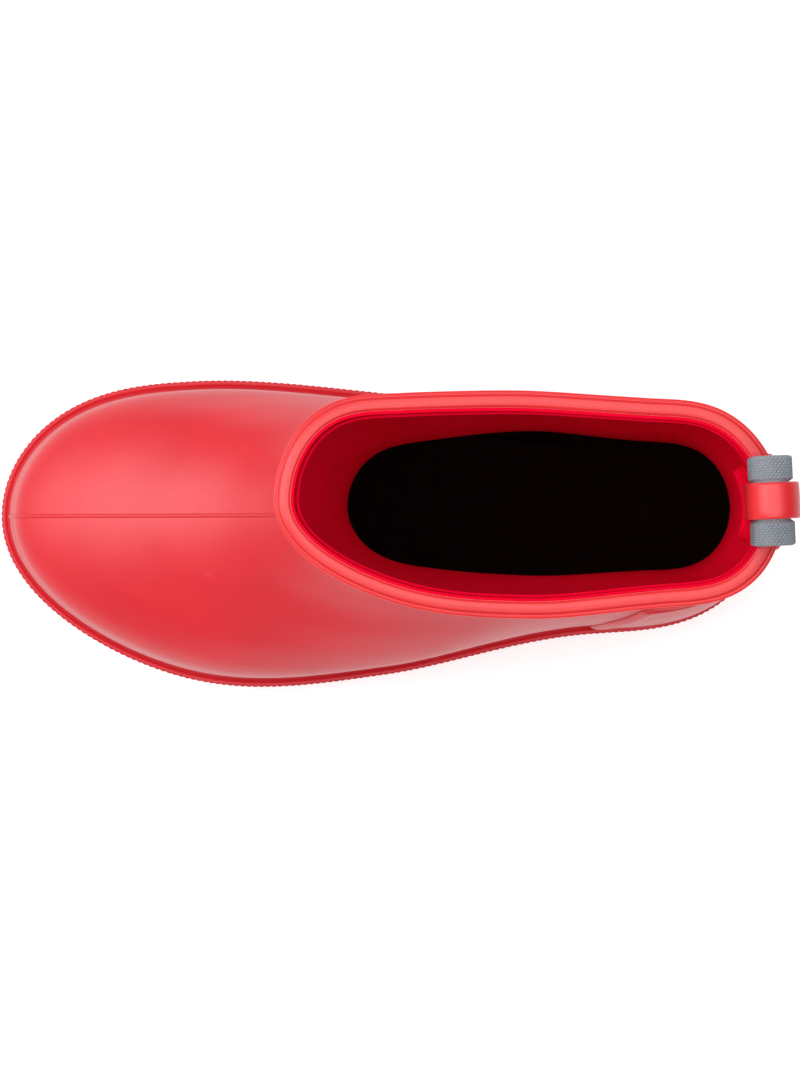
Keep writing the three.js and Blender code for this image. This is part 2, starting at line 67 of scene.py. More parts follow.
# Sections of the upper's outer face, from the welt to the top line. Each one runs from its front end to its
# back end, (x, z), about its middle line y. Its breadths to the outer and the inner side are given at the
# front end, halfway forward, in the middle, halfway back and at the back end. The skew is how much further
# back the outer side of the back end lies, for each millimetre outwards.
SECTIONS = [
    # front x, z, back x, z, middle y, skew, five breadths outwards, five breadths inwards
    (100.4, 14, -100.4, 19, -5, 0, 47.5, 48.3, 40.3, 34.2, 48.5, 51.5, 39.4, 30.8, 28.6, 49),
    (100.3, 21, -100.9, 27, -5, 0, 47.5, 48.2, 40.3, 34.2, 49, 51, 39.4, 30.8, 28.8, 49.5),
    (98.8, 29, -100.7, 35, -5, 0, 47, 47.6, 40, 33.8, 48.8, 50.5, 38.8, 30.5, 28.6, 49.3),
    (95.6, 35.5, -100, 42, -5, 0, 46, 46, 39.4, 33, 48, 50, 38, 30.2, 28.4, 48.6),
    (82, 43, -98.8, 49.5, -5, 0, 41.5, 41, 36.8, 31.4, 47, 45.5, 34.6, 29, 27.7, 47.5),
    (61, 51.5, -96.8, 58, -5.2, 0, 34, 34.8, 32.4, 28.6, 44.5, 37, 30.6, 27.2, 26.4, 45),
    (38, 61.5, -94.6, 68, -5.8, 0, 30.5, 28.6, 27, 25.4, 41.5, 31, 26.6, 25, 25, 42.5),
    (19.5, 76, -92.6, 79, -6.6, 0, 29, 23.8, 22.2, 23, 33, 30, 24.2, 23.3, 23.9, 34.5),
    (12.2, 98, -91.2, 98, -7.2, 0.02, 28, 22, 20.8, 22.6, 33, 31, 23.8, 23, 24, 34),
    (16.5, 128, -92.4, 128, -7.7, 0.05, 27.5, 24.6, 23.6, 25.6, 38, 35, 25.8, 24, 25.8, 37.5),
    (24.2, 160, -94.3, 160, -8.1, 0.09, 26, 27.1, 26.5, 27.6, 38.5, 40, 28, 24.8, 26.6, 38),
]
BREADTHS = 5
BALL_HEIGHT = 12
TOE_SPRING = 4
TOE_SPRING_START = 0.35
HEEL_LIFT = 9
HEEL_RAMP_END = -0.55
SOLE_SAG_FADE = 0.35
HEEL_BREAST = -0.37
HEEL_BREAST_END = -0.34
ARCH_START = -0.02
ARCH_LIFT = 6
STEP = 1e-3


def spline(rows, places):
    """A smooth curve through the rows, at places from 0 at the first to 1 at the last."""
    rows = np.asarray(rows, float)
    last = len(rows) - 1
    spot = np.clip(np.asarray(places, float), 0, 1) * last
    index = np.minimum(spot.astype(int), last - 1)
    share = (spot - index)[..., None]
    a = rows[np.maximum(index - 1, 0)]
    b = rows[index]
    c = rows[index + 1]
    d = rows[np.minimum(index + 2, last)]
    leave = (c - a) / 2
    arrive = (d - b) / 2
    cube = (2 * b - 2 * c + leave + arrive) * share**3
    square = (3 * c - 3 * b - 2 * leave - arrive) * share**2
    return cube + square + leave * share + b


def smoothstep(start, end, value):
    share = np.clip((value - start) / (end - start), 0, 1)
    return share * share * (3 - 2 * share)


def toe_spring(along):
    return TOE_SPRING * np.maximum(0, (along - TOE_SPRING_START) / (1 - TOE_SPRING_START)) ** 2


def foot_plane(along):
    return BALL_HEIGHT + toe_spring(along) + HEEL_LIFT * smoothstep(0, HEEL_RAMP_END, along)


def tread_plane(along):
    breast = smoothstep(HEEL_BREAST, HEEL_BREAST_END, along)
    return toe_spring(along) + ARCH_LIFT * breast * smoothstep(ARCH_START, HEEL_BREAST_END, along)


def sole_sag(level, along):
    heel, toe = foot_plane(-1.0), foot_plane(1.0)
    straight = heel + (toe - heel) * (1 + along) / 2
    return (foot_plane(along) - straight) * (1 - smoothstep(0, SOLE_SAG_FADE, level))


def face(level, angle):
    """A point of the upper's outer face: level 0 at the welt and 1 at the top line, and angle 0 at the toe,
    through the outer side, to half a turn at the heel."""
    level, angle = np.broadcast_arrays(np.asarray(level, float), np.asarray(angle, float))
    row = spline(SECTIONS, level)
    front_x, front_z, back_x, back_z, middle, skew = (row[..., index] for index in range(6))
    along = np.cos(angle)
    share = (1 + along) / 2
    outside = (np.sin(angle) > 0)[..., None]
    breadths = np.where(outside, row[..., 6:6 + BREADTHS], row[..., 6 + BREADTHS:])
    places = (1 - along) / 2
    outwards = np.sin(angle) * blend_breadths(breadths, places)
    x = back_x + (front_x - back_x) * share - skew * outwards * (1 - share)
    z = back_z + (front_z - back_z) * share + sole_sag(level, along)
    return np.stack([x, middle + outwards, z], axis=-1)


def blend_breadths(breadths, places):
    """The breadth at each place between the front end, 0, and the back end, 1, of its own section."""
    weights = spline(np.eye(BREADTHS), places)
    return (breadths * weights).sum(axis=-1)


def face_normal(level, angle):
    level = np.asarray(level, float)
    low = np.maximum(level - STEP, 0)
    high = np.minimum(level + STEP, 1)
    up = face(high, angle) - face(low, angle)
    onward = face(level, np.asarray(angle) + STEP) - face(level, np.asarray(angle) - STEP)
    normal = np.cross(onward, up)
    return normal / np.linalg.norm(normal, axis=-1, keepdims=True)


def wall_point(level, angle, offset):
    offset = np.asarray(offset, float)[..., None]
    return face(level, angle) + face_normal(level, angle) * offset


def outline(angle, offset):
    """A point of the sole's outline, grown outwards by the offset, at the height of the upper's foot."""
    onward = face(0.0, np.asarray(angle) + STEP) - face(0.0, np.asarray(angle) - STEP)
    outward = np.stack([onward[..., 1], -onward[..., 0], np.zeros_like(onward[..., 0])], axis=-1)
    outward /= np.linalg.norm(outward, axis=-1, keepdims=True)
    return face(0.0, angle) + outward * np.asarray(offset, float)[..., None]


BACK_HEIGHTS = spline(SECTIONS, np.linspace(0, 1, 2001))[:, 3]


def level_at(height):
    """The level at which the back line passes a height."""
    return np.interp(height, BACK_HEIGHTS, np.linspace(0, 1, len(BACK_HEIGHTS)))


# ------------------------------------------------------------------ camera, light and floor

VIEW_HEIGHT = 1.300
VIEW_X = -4.4 * MM
SOLE_VIEW_HEIGHT = 12 * MM
PIXELS_PER_METRE = 3700
IMAGE_HEIGHT = 1070
SENSOR = 36.0
WORLD_BRIGHTNESS = 0.16
PAPER_GLOW = 0.55

# Name, place, breadth and power: a broad lamp overhead, and one beyond the toe that lights the vamp's slope.
LIGHTS = [
    ("softbox", (0.0, -0.15, 2.0), 2.6, 48),
    ("toe softbox", (1.5, -0.3, 1.6), 1.6, 26),
]


def make_camera():
    camera = bpy.data.cameras.new("camera")
    camera.sensor_width = SENSOR
    focal_pixels = PIXELS_PER_METRE * (VIEW_HEIGHT - SOLE_VIEW_HEIGHT)
    camera.lens = focal_pixels / IMAGE_HEIGHT * SENSOR
    holder = bpy.data.objects.new("camera", camera)
    holder.location = (VIEW_X, 0, VIEW_HEIGHT)
    holder.rotation_euler = (0, 0, math.pi)
    bpy.context.scene.collection.objects.link(holder)
    bpy.context.scene.camera = holder


def make_light(name, place, size, power, aim=(0, 0, 0.06)):
    lamp = bpy.data.lights.new(name, "AREA")
    lamp.shape = "DISK"
    lamp.size = size
    lamp.energy = power
    holder = bpy.data.objects.new(name, lamp)
    holder.location = place
    direction = Vector(aim) - Vector(place)
    holder.rotation_euler = direction.to_track_quat("-Z", "Y").to_euler()
    bpy.context.scene.collection.objects.link(holder)


def make_world(brightness):
    world = bpy.data.worlds.new("studio")
    world.use_nodes = True
    background = world.node_tree.nodes["Background"]
    background.inputs["Color"].default_value = (1, 1, 1, 1)
    background.inputs["Strength"].default_value = brightness
    bpy.context.scene.world = world


# ------------------------------------------------------------------ finishes


class Value:
    """A number that varies over a surface. Arithmetic on it adds Math nodes."""

    def __init__(self, finish, socket):
        self.finish = finish
        self.socket = socket

    def math(self, operation, *values):
        sockets = dict(enumerate(values))
        return self.finish.node("ShaderNodeMath", {"operation": operation}, sockets)

    def __add__(self, other):
        return self.math("ADD", self, other)

    def __sub__(self, other):
        return self.math("SUBTRACT", self, other)

    def __rsub__(self, other):
        return self.math("SUBTRACT", other, self)

    def __mul__(self, other):
        return self.math("MULTIPLY", self, other)

    __radd__ = __add__
    __rmul__ = __mul__

    def sine(self):
        return self.math("SINE", self)


class Finish:
    """A material under construction."""

    def __init__(self, name, roughness, specular=0.5):
        self.material = bpy.data.materials.new(name)
        self.material.use_nodes = True
        self.tree = self.material.node_tree
        self.shader = self.tree.nodes["Principled BSDF"]
        self.set("Roughness", roughness)
        self.set("Specular IOR Level", specular)

    def put(self, socket, value):
        if isinstance(value, Value):
            self.tree.links.new(value.socket, socket)
        elif socket.type == "RGBA":
            socket.default_value = (*value, 1)
        else:
            socket.default_value = value

    def set(self, name, value):
        self.put(self.shader.inputs[name], value)

    def node(self, kind, settings=None, sockets=None, output=0):
        node = self.tree.nodes.new(kind)
        for key, value in (settings or {}).items():
            setattr(node, key, value)
        for key, value in (sockets or {}).items():
            self.put(node.inputs[key], value)
        return Value(self, node.outputs[output])

    def noise(self, scale, detail=2.0, roughness=0.5, stretch=(1, 1, 1)):
        place = self.node("ShaderNodeTexCoord", output="Object")
        if stretch != (1, 1, 1):
            place = self.node("ShaderNodeMapping", {}, {"Vector": place, "Scale": stretch})
        sockets = {"Vector": place, "Scale": scale, "Detail": detail, "Roughness": roughness}
        return self.node("ShaderNodeTexNoise", {}, sockets)

    def ramp(self, value, low, high):
        sockets = {"Value": value, "From Min": low, "From Max": high}
        return self.node("ShaderNodeMapRange", {"clamp": True}, sockets)

    def mix(self, factor, first, second):
        sockets = {0: factor, 6: first, 7: second}
        return self.node("ShaderNodeMix", {"data_type": "RGBA"}, sockets, 2)

    def bump(self, height, distance, strength=1.0):
        sockets = {"Height": height, "Distance": distance, "Strength": strength}
        self.set("Normal", self.node("ShaderNodeBump", {}, sockets))


SCUFF_PALER = 0.05
SCUFF_SHARE = 0.35
SPECK_SHARE = 0.25
KNIT_RIB = 0.6 * MM
KNIT_COURSE = 0.5 * MM
KNIT_RELIEF = 0.08 * MM
PILE_RELIEF = 0.4 * MM
FIBRE_RELIEF = 0.2 * MM


def rubber(name, colour, shade, roughness, grain=0.03 * MM, specular=0.5):
    """Moulded rubber: an even colour with a faint bloom, a satin face, a fine grain and a few scuffs."""
    finish = Finish(name, roughness, specular)
    cloud = finish.ramp(finish.noise(30, 4.0, 0.6), 0.35, 0.68)
    speck = finish.ramp(finish.noise(520, 2.0), 0.66, 0.74)
    bloom = finish.ramp(finish.noise(11, 3.0), 0.3, 0.7)
    scuff = finish.ramp(finish.noise(95, 6.0, 0.75, (1, 2.5, 1)), 0.63, 0.72)
    pale = [min(1, part + SCUFF_PALER) for part in colour]
    worn = finish.mix(scuff * SCUFF_SHARE, finish.mix(cloud, colour, shade), pale)
    finish.set("Base Color", finish.mix(speck * SPECK_SHARE, worn, shade))
    finish.set("Roughness", roughness - 0.05 + 0.10 * bloom + 0.12 * scuff)
    fine = finish.noise(2600, 2.0)
    wave = finish.noise(140, 2.0)
    finish.bump(fine * 0.35 + wave * 1.4, grain * 4, 0.5)
    return finish.material


def knit(name, colour, gap_colour, rib=KNIT_RIB, course=KNIT_COURSE):
    """A knitted cloth on the piece's own map, in metres: columns of loops with dark gaps between them."""
    finish = Finish(name, 0.95, 0.03)
    cloth = finish.node("ShaderNodeUVMap", {"uv_map": "cloth"})
    across = finish.node("ShaderNodeSeparateXYZ", {}, {"Vector": cloth}, 0)
    along = finish.node("ShaderNodeSeparateXYZ", {}, {"Vector": cloth}, 1)
    column = (across * (TURN / rib)).sine()
    shifted = along * (TURN / course) + column * 1.3
    loops = finish.ramp(column * 0.55 + shifted.sine() * 0.6, -0.9, 0.9)
    fuzz = finish.noise(1500, 3.0)
    height = loops * 0.8 + fuzz * 0.3
    patchy = finish.ramp(finish.noise(45, 3.0), 0.3, 0.7)
    shaded = finish.mix(finish.ramp(height, 0.15, 0.75), gap_colour, colour)
    finish.set("Base Color", finish.mix(patchy * 0.3, shaded, gap_colour))
    finish.bump(height, KNIT_RELIEF, 0.5)
    return finish.material


def brushed(name, colour, gap_colour, scale=900):
    """A brushed cloth or foam face with no direction of its own."""
    finish = Finish(name, 0.95, 0.12)
    pile = finish.noise(scale, 4.0, 0.65)
    finish.set("Base Color", finish.mix(finish.ramp(pile, 0.35, 0.65), gap_colour, colour))
    finish.bump(pile, PILE_RELIEF, 0.8)
    return finish.material


def fibre_board(name, colour, gap_colour):
    finish = Finish(name, 0.9, 0.2)
    fibre = finish.noise(300, 5.0, 0.7, (1, 3, 1))
    finish.set("Base Color", finish.mix(fibre, gap_colour, colour))
    finish.bump(fibre, FIBRE_RELIEF, 0.6)
    return finish.material


RED = (0.64, 0.011, 0.022)
RED_SHADE = (0.58, 0.009, 0.019)
BRIGHT = (0.66, 0.020, 0.024)
BRIGHT_SHADE = (0.61, 0.015, 0.020)
SOLE_RED = (0.62, 0.013, 0.024)
LINING_RED = (0.78, 0.0012, 0.024)
LINING_GAP = (0.50, 0.0009, 0.015)
GREY = (0.235, 0.252, 0.284)
GREY_SHADE = (0.150, 0.166, 0.192)
GREY_SMOOTH = (0.390, 0.385, 0.420)
BLACK = (0.014, 0.0010, 0.0010)
BLACK_GAP = (0.004, 0.0004, 0.0004)
BROWN = (0.45, 0.32, 0.20)
BROWN_SHADE = (0.30, 0.20, 0.12)
SPONGE = (0.12, 0.12, 0.13)
SPONGE_SHADE = (0.05, 0.05, 0.06)

upper_rubber = rubber("upper rubber", RED, RED_SHADE, 0.46, specular=0.7)
trim_rubber = rubber("trim rubber", BRIGHT, BRIGHT_SHADE, 0.38)
sole_rubber = rubber("sole rubber", SOLE_RED, RED_SHADE, 0.5, 0.05 * MM)
loop_rubber = rubber("loop rubber", GREY, GREY_SHADE, 0.6)
channel_rubber = rubber("smooth loop rubber", GREY_SMOOTH, GREY, 0.5)
lining_knit = knit("red lining knit", LINING_RED, LINING_GAP)
foot_knit = knit("black lining knit", BLACK, BLACK_GAP)
lining_tape = brushed("collar tape", LINING_RED, LINING_GAP)
footbed_cloth = brushed("footbed cloth", BLACK, BLACK_GAP)
footbed_foam = brushed("footbed foam", (0.02, 0.02, 0.02), BLACK_GAP, 1400)
sponge = brushed("sole sponge", SPONGE, SPONGE_SHADE)
board = fibre_board("fibre board", BROWN, BROWN_SHADE)


# ------------------------------------------------------------------ making pieces


def select_only(piece):
    bpy.ops.object.select_all(action="DESELECT")
    piece.hide_set(False)
    piece.select_set(True)
    bpy.context.view_layer.objects.active = piece


def edit(piece, *steps):
    """Runs edit-mode steps on the piece, with all of it selected before each one."""
    select_only(piece)
    bpy.ops.object.mode_set(mode="EDIT")
    for step in steps:
        bpy.ops.mesh.select_all(action="SELECT")
        step()
    bpy.ops.object.mode_set(mode="OBJECT")


def apply(piece, kind, **settings):
    select_only(piece)
    modifier = piece.modifiers.new(kind, kind)
    for key, value in settings.items():
        setattr(modifier, key, value)
    bpy.ops.object.modifier_apply(modifier=modifier.name)


def smooth_shading(piece, angle=50):
    select_only(piece)
    bpy.ops.object.shade_smooth_by_angle(angle=math.radians(angle))


MERGE_DISTANCE = 0.002 * MM


def skin(name, points, closed_across=True):
    """A skin over a grid of points in millimetres, points[across][along], made from a grid primitive. It is
    always closed along, and across it is closed on itself or capped at both ends."""
    points = np.concatenate([points, points[:, :1]], axis=1)
    if closed_across:
        points = np.concatenate([points, points[:1]])
    columns, rows = points.shape[:2]
    bpy.ops.object.select_all(action="DESELECT")
    bpy.ops.mesh.primitive_grid_add(x_subdivisions=rows - 1, y_subdivisions=columns - 1, size=1)
    piece = bpy.context.object
    piece.name = name
    piece.data.name = name
    piece.data.vertices.foreach_set("co", (points * MM).ravel())
    lay_map(piece, points)
    edit(
        piece,
        lambda: bpy.ops.mesh.remove_doubles(threshold=MERGE_DISTANCE),
        close_ends,
        lambda: bpy.ops.mesh.normals_make_consistent(inside=False),
    )
    return piece


def close_ends():
    bpy.ops.mesh.select_all(action="DESELECT")
    bpy.ops.mesh.select_non_manifold()
    bpy.ops.mesh.fill_holes(sides=0)


def lay_map(piece, points):
    """Gives the skin its own map in metres: the run across its middle row, and the run along its columns."""
    across = np.linalg.norm(np.diff(points[:, points.shape[1] // 4], axis=0), axis=1)
    along = np.linalg.norm(np.diff(points[0], axis=0), axis=1)
    across = np.concatenate([[0], np.cumsum(across)]) * MM
    along = np.concatenate([[0], np.cumsum(along)]) * MM
    corners = np.empty(len(piece.data.loops), int)
    piece.data.loops.foreach_get("vertex_index", corners)
    rows = points.shape[1]
    places = np.stack([across[corners // rows], along[corners % rows]], axis=1)
    layer = piece.data.uv_layers[0]
    layer.name = "cloth"
    layer.data.foreach_set("uv", places.ravel())


def dress(piece, body, material, slot, *nodes):
    piece.data.materials.clear()
    piece.data.materials.append(material)
    if body:
        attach(piece, body)
    if nodes:
        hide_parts(*nodes)
    return piece


def rounded(corners, radius, steps=4):
    """A closed outline with each of its corners rounded."""
    points = []
    for index, corner in enumerate(corners):
        here = np.array(corner, float)
        before = np.array(corners[index - 1], float)
        after = np.array(corners[(index + 1) % len(corners)], float)
        to_before = np.linalg.norm(before - here)
        to_after = np.linalg.norm(after - here)
        size = min(radius, to_before / 2.2, to_after / 2.2)
        start = here + (before - here) / to_before * size
        end = here + (after - here) / to_after * size
        for share in np.linspace(0, 1, steps):
            points.append((1 - share) ** 2 * start + 2 * share * (1 - share) * here + share**2 * end)
    return np.array(points)


def round_angles(count):
    return np.linspace(0, TURN, count, endpoint=False)


# ------------------------------------------------------------------ upper and lining

UPPER_THICKNESS = 2.2
LINING_FACE = -2.5
LINING_THICKNESS = 0.8
STIFFENER_ROOM = 1.1
TOP_LINE_MM = TOP_LINE / MM
LINING_SEAM_HEIGHT = 84
LINING_SEAM_GAP = 0.15
ANKLE_HEIGHT = 80
LINING_CLOSES_BELOW = 0.12
LINING_CLOSES_ABOVE = 0.04
TAPE_LOW = 9
TAPE_TOP = 3
TAPE_SEAT = 0.05
TAPE_THICKNESS = 0.55
FLOOR_LENGTH_SHARE = 0.85
FLOOR_RING_SHARES = (0.2, 0.45, 0.7, 0.999)


def thick_wall(name, low, high, outside, inside, around=220, rows=80):
    """A wall right round the boot between two levels. outside and inside give its offsets at each level."""
    levels = np.linspace(low, high, rows)
    up = np.stack([levels, np.broadcast_to(outside(levels), rows)], axis=1)
    down = np.stack([levels, np.broadcast_to(inside(levels), rows)], axis=1)[::-1]
    profile = np.concatenate([up, down])
    angles = round_angles(around)[:, None]
    points = wall_point(profile[:, 0], angles, np.broadcast_to(profile[:, 1], (around, 2 * rows)))
    return skin(name, points)


def make_upper():
    upper = thick_wall("upper", 0, 1, lambda level: 0.0, lambda level: -UPPER_THICKNESS, 230, 90)
    smooth_shading(upper)
    return dress(upper, "boot", upper_rubber, "upper_rubber", "upper_shell")


def lining_face(level):
    """Inside the foot the lining leaves room for the stiffeners; up the leg it lies against the upper."""
    ankle = level_at(ANKLE_HEIGHT)
    closed = smoothstep(ankle - LINING_CLOSES_BELOW, ankle + LINING_CLOSES_ABOVE, level)
    return LINING_FACE - STIFFENER_ROOM * (1 - closed)


def lining_inside(level):
    return lining_face(level) - LINING_THICKNESS


def make_leg_lining():
    low = level_at(LINING_SEAM_HEIGHT + LINING_SEAM_GAP)
    lining = thick_wall("leg_lining", low, 1, lining_face, lining_inside, 220, 50)
    smooth_shading(lining)
    return dress(lining, "boot", lining_knit, "lining_knit", "lining_leg")


def make_foot_lining():
    """A sock: two walls that end in a floor at the foot plane."""
    around = 160
    rows = 44
    floor = level_at(foot_plane(-1.0))
    levels = np.linspace(floor, level_at(LINING_SEAM_HEIGHT), rows)
    angles = round_angles(around)[:, None]
    shape = (around, rows)
    outer = wall_point(levels, angles, np.broadcast_to(lining_face(levels), shape))
    inner = wall_point(levels, angles, np.broadcast_to(lining_inside(levels), shape))[:, ::-1]
    inner_floor = draw_in(inner[:, -1], LINING_THICKNESS)
    outer_floor = draw_in(outer[:, 0], 0)[:, ::-1]
    lining = skin("foot_lining", np.concatenate([outer, inner, inner_floor, outer_floor], axis=1))
    smooth_shading(lining)
    return dress(lining, "boot", foot_knit, "foot_knit", "lining_foot")


def draw_in(ring, lift):
    """Rings that draw a closed ring in to its middle line, for a floor."""
    middle = ring.copy()
    middle[:, 1] = ring[:, 1].mean()
    share = FLOOR_LENGTH_SHARE
    middle[:, 0] = ring[:, 0] * share + ring[:, 0].mean() * (1 - share)
    middle[:, 2] = foot_plane_at(middle[:, 0]) + lift
    shares = np.array(FLOOR_RING_SHARES)[None, :, None]
    floor = ring[:, None] * (1 - shares) + middle[:, None] * shares
    floor[..., 2] = foot_plane_at(floor[..., 0]) + lift
    return floor


def foot_plane_at(x):
    heel, toe = SECTIONS[0][2], SECTIONS[0][0]
    return foot_plane(np.clip(2 * (x - heel) / (toe - heel) - 1, -1, 1))


def make_collar_tape():
    """A tape sewn over the lining's top edge."""
    tape = thick_wall(
        "collar_tape_strip", level_at(TOP_LINE_MM - TAPE_LOW), level_at(TOP_LINE_MM - TAPE_TOP),
        lambda level: lining_inside(level) + TAPE_SEAT, lambda level: lining_inside(level) - TAPE_THICKNESS,
        200, 8,
    )
    smooth_shading(tape)
    return dress(tape, "boot", lining_knit, "lining_knit", "collar_tape")


def make_top_band():
    """The band round the top line: a bead outside, a groove, and a top face that rounds over inwards."""
    around = 360
    corners = [
        (0.0, -6.6), (1.2, -6.6), (1.55, -6.1), (1.55, -5.3),
        (1.25, -4.9), (1.25, -1.9), (1.65, -1.4), (1.70, -0.5),
        (1.45, 0.10), (1.10, 0.20), (0.98, 0.05), (0.94, -0.35), (0.80, -0.35), (0.74, 0.10), (0.30, 0.50),
        (-0.9, 0.66), (-1.9, 0.45), (-2.5, -0.05), (-2.75, -0.9),
        (-2.75, -1.6), (-2.3, -1.7), (-2.0, -0.4), (-0.2, -0.4),
    ]
    profile = rounded(corners, 0.22, 4)
    angles = round_angles(around)[:, None]
    levels = level_at(TOP_LINE_MM + np.minimum(profile[:, 1], 0))
    points = wall_point(levels, angles, np.broadcast_to(profile[:, 0], (around, len(profile))))
    points[..., 2] += np.maximum(profile[:, 1], 0)
    band = skin("top_band_ring", points)
    smooth_shading(band, 60)
    return dress(band, "boot", trim_rubber, "trim_rubber", "top_band")


PARTING_WIDTH = 0.5
PARTING_HEIGHT = 0.42
PARTING_PLANE = -4.9
PARTING_DRIFT = 0.3
PARTING_STEP = 0.01
BACK_PARTING_LOW = 63
BACK_PARTING_STOP = 26


def make_parting_line(name, low, high, angle_at):
    """The ridge that the mould leaves where its halves meet, as a low bead up the face."""
    levels = np.linspace(low, high, 160)
    angles = angle_at(levels)
    onward = face(levels, angles + STEP) - face(levels, angles)
    onward /= np.linalg.norm(onward, axis=-1, keepdims=True)
    turns = np.linspace(0, math.pi, 6)
    centre = face(levels, angles)
    out = face_normal(levels, angles)
    arch = [
        centre + onward * math.cos(turn) * PARTING_WIDTH + out * math.sin(turn) * PARTING_HEIGHT
        for turn in turns
    ]
    ridge = skin(name, np.stack([*arch, centre - out * PARTING_HEIGHT], axis=1), closed_across=False)
    smooth_shading(ridge, 80)
    return dress(ridge, "boot", upper_rubber, "upper_rubber")


def front_parting_angle(levels):
    """Where the face's front crosses the mould's plane, a little to the inner side of the middle line."""
    middle = spline(SECTIONS, levels)[:, 4]
    target = PARTING_PLANE - PARTING_DRIFT * levels
    reach = np.zeros_like(levels)
    for _ in range(4):
        here = face(levels, reach)[:, 1]
        slope = (face(levels, reach + PARTING_STEP)[:, 1] - here) / PARTING_STEP
        reach = reach + (target - here) / slope
    return reach


def edge_profile(distance, width):
    """Rises smoothly from 0 at an edge to 1 at the given width from it."""
    return np.sqrt(np.clip(1 - (1 - np.clip(distance / width, 0, 1)) ** 2, 0, 1))


def height_at(level):
    """The height of the back line at a level."""
    return np.interp(level, np.linspace(0, 1, len(BACK_HEIGHTS)), BACK_HEIGHTS)


CORNER_DRAW = 0.35
EDGE_SPAN = 38
BEAD_PLACE = 1.3
BEAD_SPREAD = 0.7
PATCH_SINK = 0.15
COUNTER_HALF_TURN = math.radians(58)
COUNTER_TOP = 62
COUNTER_SEAM = 2.2
COUNTER_LEAN = 0.14


def patch_on_back(name, low, high, half_width, lean, outside, edge, corner,
                  bead=0.0, columns=90, rows=60, seat=0.0):
    """A patch that wraps the heel between two heights: half_width in angle, closing in by the share lean on
    the way up, with corners rounded by the share corner, and a rounded edge with a bead beside it."""
    across = np.sin(np.linspace(-math.pi / 2, math.pi / 2, columns))[:, None]
    up = (1 + np.sin(np.linspace(-math.pi / 2, math.pi / 2, rows))) / 2
    levels = level_at(low) + (level_at(high) - level_at(low)) * up
    ends = np.clip(np.minimum(up, 1 - up) / corner, 0, 1)
    spread = half_width * (1 - lean * up) * (1 - CORNER_DRAW * (1 - np.sqrt(1 - (1 - ends) ** 2)))
    angles = math.pi + across * spread
    sideways = (1 - np.abs(across)) * spread * EDGE_SPAN
    upwards = np.minimum(up, 1 - up) * (high - low)
    distance = np.minimum(sideways, np.broadcast_to(upwards, sideways.shape))
    lift = edge_profile(distance, edge)
    ridge = bead * np.exp(-((distance - edge * BEAD_PLACE) / (edge * BEAD_SPREAD)) ** 2)
    top = wall_point(levels, angles, seat + outside(levels) * lift + ridge)
    sunk = seat - PATCH_SINK * np.sign(outside(levels))
    base = wall_point(levels, angles, np.broadcast_to(sunk, sideways.shape))[:, ::-1]
    piece = skin(name, np.concatenate([top, base], axis=1), closed_across=False)
    smooth_shading(piece, 60)
    return piece


def make_heel_counter():
    counter = patch_on_back(
        "heel_counter_patch", foot_plane(-1.0) + COUNTER_SEAM, COUNTER_TOP, COUNTER_HALF_TURN, COUNTER_LEAN,
        np.ones_like, 0.9, 0.12, 0.35, 120, 60,
    )
    return dress(counter, "boot", upper_rubber, "upper_rubber", "heel_counter")


# ------------------------------------------------------------------ sole

RIB_PITCH = 1.7
RIB_DEPTH = 0.24
RIB_STEPS = 6
WELT_REACH = 2.5
WELT_LOW = -5.7
WELT_HIGH = 1.5


def even_angles(count, offset):
    """Angles that are a steady distance apart round the outline."""
    angles = np.linspace(0, TURN, 2001)
    spots = outline(angles, offset)[:, :2]
    run = np.concatenate([[0], np.cumsum(np.linalg.norm(np.diff(spots, axis=0), axis=1))])
    return np.interp(np.linspace(0, run[-1], count, endpoint=False), run, angles), run[-1]


def make_welt():
    """The welt strip: fine upright ribs round its outer edge, a flat top and a groove beside the upper."""
    _, length = even_angles(8, WELT_REACH)
    ribs = round(length / RIB_PITCH)
    angles, _ = even_angles(ribs * RIB_STEPS, WELT_REACH)
    notch = np.array([1.0, 0.4, 0.05, 0.0, 0.05, 0.4])
    cut = RIB_DEPTH * np.tile(notch, ribs)
    reach = WELT_REACH
    top = WELT_HIGH
    profile = [
        (reach, WELT_LOW, 1), (reach, -3.4, 1), (reach, -1.2, 1), (reach, top - 0.55, 1),
        (reach - 0.12, top - 0.15, 0.8), (reach - 0.5, top, 0.2), (1.3, top, 0), (1.0, top - 0.3, 0),
        (0.7, top + 0.05, 0), (0.2, top + 0.35, 0), (-0.5, top + 0.5, 0),
        (-0.5, WELT_LOW, 0),
    ]
    rings = []
    for out, rise, share in profile:
        ring = outline(angles, out - cut * share)
        ring[:, 2] = foot_plane(np.cos(angles)) + rise
        rings.append(ring)
    welt = skin("welt_strip", np.stack(rings, axis=1))
    smooth_shading(welt, 60)
    return dress(welt, "boot", sole_rubber, "sole_rubber", "welt_band")


CORNER_NIP = 0.3
SOLE_TOP = 6
CUTTER_LOW = -1.0
END_ANGLE = 0.004


